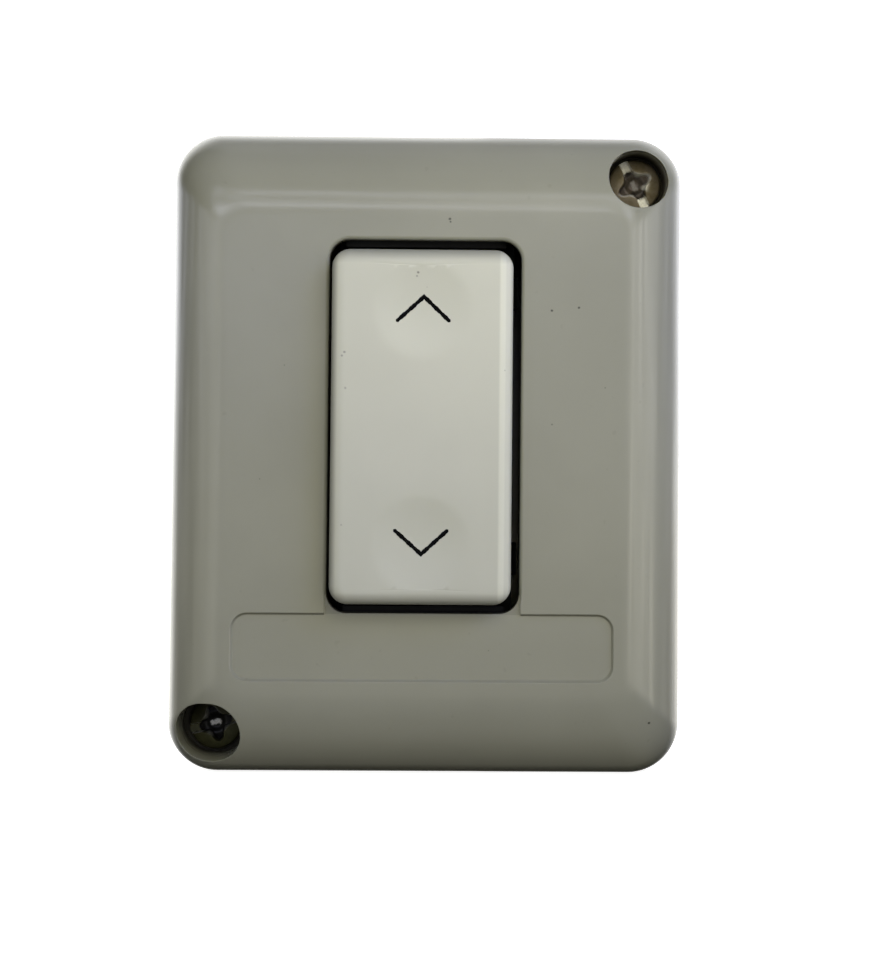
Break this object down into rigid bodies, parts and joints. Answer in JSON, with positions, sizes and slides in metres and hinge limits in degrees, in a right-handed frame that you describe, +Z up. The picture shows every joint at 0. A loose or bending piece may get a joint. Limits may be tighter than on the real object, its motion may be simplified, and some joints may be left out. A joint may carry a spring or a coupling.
{
  "type": "roller shutter switch",
  "caption": "Surface-mounted roller shutter switch: grey wall box with a domed cover and a white rocker key that returns to the middle.",
  "frame": {"origin": "middle of the box's back face, on the wall", "axes": "+Y into the wall, so the front looks along -Y; +Z up the wall, along the longest side; +X to the right seen from the front"},
  "size_m": [0.066, 0.054, 0.0826],
  "materials": {
    "housing": "moulded, glossy warm light grey",
    "key": "moulded, satin warm white",
    "nickel": "bright nickel plate",
    "module_black": "moulded, matt black",
    "module_cream": "moulded, matt cream",
    "brass": "stamped brass",
    "copper": "stamped copper",
    "spring_steel": "zinc-plated steel",
    "contact_silver": "silver contact face"
  },
  "bodies": {
    "housing": {"back_box": "housing", "front_cover": "housing", "cover_screw_upper": "nickel", "cover_screw_lower": "nickel", "module_frame": "module_black", "module_base": "module_cream", "common_terminal": "brass", "upper_terminal": "brass", "lower_terminal": "brass", "fixed_contact_upper": "contact_silver", "fixed_contact_lower": "contact_silver", "clamp_plate_common": "spring_steel", "clamp_plate_upper": "spring_steel", "clamp_plate_lower": "spring_steel", "terminal_screw_common": "spring_steel", "terminal_screw_upper": "spring_steel", "terminal_screw_lower": "spring_steel"},
    "rocker": {"rocker_key": "key", "rocker_carrier": "module_cream"},
    "plunger": {"plunger": "brass", "plunger_spring": "spring_steel"},
    "seesaw": {"contact_rocker": "copper", "moving_contact_upper": "contact_silver", "moving_contact_lower": "contact_silver"}
  },
  "joints": [
    {"name": "rocker_tilt", "type": "hinge", "parent": "housing", "child": "rocker", "pos_m": [0, -0.046, 0.0035], "axis": [1, 0, 0], "range_deg": [-5, 5], "stiffness_Nm_per_rad": 0.3},
    {"name": "plunger_slide", "type": "slide", "parent": "rocker", "child": "plunger", "axis": [0, -1, 0], "range_m": [0, 0.0008], "stiffness_N_per_m": 500, "deforming": ["plunger_spring"]},
    {"name": "contact_tilt", "type": "hinge", "parent": "housing", "child": "seesaw", "pos_m": [0, -0.0303, 0.0035], "axis": [1, 0, 0], "range_deg": [-5, 5]}
  ],
  "couplings": [
    {"joint": "contact_tilt", "follows": "rocker_tilt", "ratio": -1}
  ]
}
